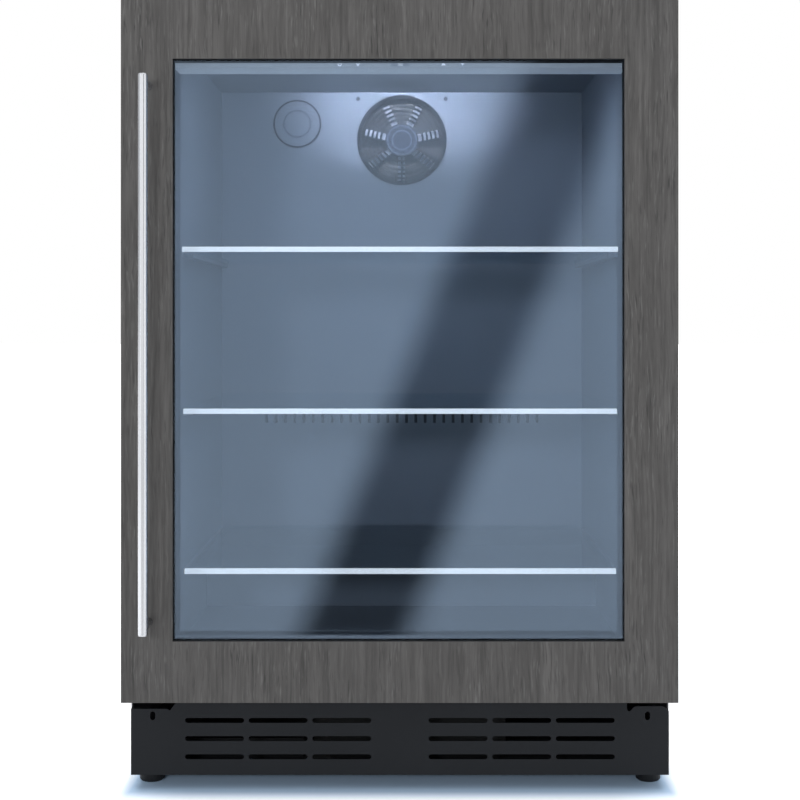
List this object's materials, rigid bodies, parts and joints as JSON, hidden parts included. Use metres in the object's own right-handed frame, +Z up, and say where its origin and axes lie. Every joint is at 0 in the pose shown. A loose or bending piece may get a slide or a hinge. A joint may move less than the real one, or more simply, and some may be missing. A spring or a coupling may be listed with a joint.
{
  "type": "mini fridge",
  "caption": "Built-in glass-door beverage fridge: insulated cabinet with glass shelves, wood-faced hinged door, bar handle, toe-kick grille and levelling feet.",
  "frame": {"origin": "centre of the bounding box in plan, on the floor under the feet", "axes": "+Z up; the door faces -Y; +X is to the right of a person who faces the door"},
  "size_m": [0.595, 0.624, 0.864],
  "materials": {
    "grey_wood": "matte",
    "steel": "satin",
    "dark_paint": "satin",
    "shell_paint": "satin",
    "zinc_sheet": "satin",
    "aluminium": "satin",
    "liner_plastic": "satin",
    "pale_plastic": "satin",
    "black_plastic": "matte",
    "grey_plastic": "satin",
    "rubber": "matte",
    "insulation": "matte",
    "door_glass": "gloss",
    "shelf_glass": "gloss"
  },
  "bodies": {
    "cabinet": {"side_panel_left": "shell_paint", "side_panel_right": "shell_paint", "top_panel": "shell_paint", "rear_cover": "zinc_sheet", "machine_cover": "zinc_sheet", "base_pan": "zinc_sheet", "stepped_bottom_panel": "zinc_sheet", "front_frame": "shell_paint", "foam_insulation": "insulation", "inner_liner": "liner_plastic", "toe_kick_grille": "dark_paint", "hinge_bracket_bottom": "dark_paint", "hinge_bracket_top": "dark_paint", "air_duct_panel": "liner_plastic", "duct_screw_left": "zinc_sheet", "duct_screw_right": "zinc_sheet", "fan_guard": "grey_plastic", "evaporator_fan_motor": "black_plastic", "evaporator_coil": "aluminium", "control_housing": "pale_plastic", "display_lens": "black_plastic", "light_diffuser": "pale_plastic", "shelf_trim_top": "pale_plastic", "shelf_glass_top": "shelf_glass", "shelf_trim_middle": "pale_plastic", "shelf_glass_middle": "shelf_glass", "shelf_trim_bottom": "pale_plastic", "shelf_glass_bottom": "shelf_glass", "compressor": "black_plastic", "condenser_coil": "aluminium", "condenser_fan_motor": "black_plastic", "drip_tray": "black_plastic", "power_inlet": "black_plastic"},
    "door": {"panel_stile_left": "grey_wood", "panel_stile_right": "grey_wood", "panel_rail_top": "grey_wood", "panel_rail_bottom": "grey_wood", "door_inner_frame": "black_plastic", "glass_outer_pane": "door_glass", "glass_spacer": "aluminium", "glass_inner_pane": "door_glass", "door_gasket": "rubber", "hinge_bush_top": "pale_plastic", "hinge_bush_bottom": "pale_plastic", "handle_bar": "steel", "handle_post_bottom": "steel", "handle_post_top": "steel"},
    "foot_front_left": {"foot_front_left": "black_plastic"},
    "foot_front_right": {"foot_front_right": "black_plastic"},
    "foot_rear_left": {"foot_rear_left": "black_plastic"},
    "foot_rear_right": {"foot_rear_right": "black_plastic"},
    "key_power": {"key_power": "pale_plastic"},
    "key_light": {"key_light": "pale_plastic"},
    "key_up": {"key_up": "pale_plastic"},
    "key_down": {"key_down": "pale_plastic"},
    "evaporator_fan": {"evaporator_fan_blades": "pale_plastic"},
    "condenser_fan": {"condenser_fan_blades": "black_plastic"},
    "filter_cap": {"filter_cap": "liner_plastic"}
  },
  "joints": [
    {"name": "door_hinge", "type": "hinge", "parent": "cabinet", "child": "door", "pos_m": [0.278, -0.24, 0.48], "axis": [0, 0, 1], "range_deg": [0, 105]},
    {"name": "evaporator_fan_spin", "type": "hinge", "parent": "cabinet", "child": "evaporator_fan", "pos_m": [0, 0.231, 0.769], "axis": [0, 1, 0], "continuous": true},
    {"name": "condenser_fan_spin", "type": "hinge", "parent": "cabinet", "child": "condenser_fan", "pos_m": [0.02, -0.086, 0.06], "axis": [0, 1, 0], "continuous": true},
    {"name": "filter_cap_turn", "type": "hinge", "parent": "cabinet", "child": "filter_cap", "pos_m": [-0.1455, 0.218, 0.7915], "axis": [0, 1, 0], "range_deg": [0, 45]},
    {"name": "foot_front_left_screw", "type": "hinge", "parent": "cabinet", "child": "foot_front_left", "pos_m": [-0.28, -0.175, 0.02], "axis": [0, 0, 1], "continuous": true},
    {"name": "foot_front_right_screw", "type": "hinge", "parent": "cabinet", "child": "foot_front_right", "pos_m": [0.28, -0.175, 0.02], "axis": [0, 0, 1], "continuous": true},
    {"name": "foot_rear_left_screw", "type": "hinge", "parent": "cabinet", "child": "foot_rear_left", "pos_m": [-0.28, 0.275, 0.02], "axis": [0, 0, 1], "continuous": true},
    {"name": "foot_rear_right_screw", "type": "hinge", "parent": "cabinet", "child": "foot_rear_right", "pos_m": [0.28, 0.275, 0.02], "axis": [0, 0, 1], "continuous": true},
    {"name": "key_power_press", "type": "slide", "parent": "cabinet", "child": "key_power", "axis": [0, 1, 0], "range_m": [0, 0.001], "stiffness_N_per_m": 800},
    {"name": "key_light_press", "type": "slide", "parent": "cabinet", "child": "key_light", "axis": [0, 1, 0], "range_m": [0, 0.001], "stiffness_N_per_m": 800},
    {"name": "key_up_press", "type": "slide", "parent": "cabinet", "child": "key_up", "axis": [0, 1, 0], "range_m": [0, 0.001], "stiffness_N_per_m": 800},
    {"name": "key_down_press", "type": "slide", "parent": "cabinet", "child": "key_down", "axis": [0, 1, 0], "range_m": [0, 0.001], "stiffness_N_per_m": 800}
  ]
}
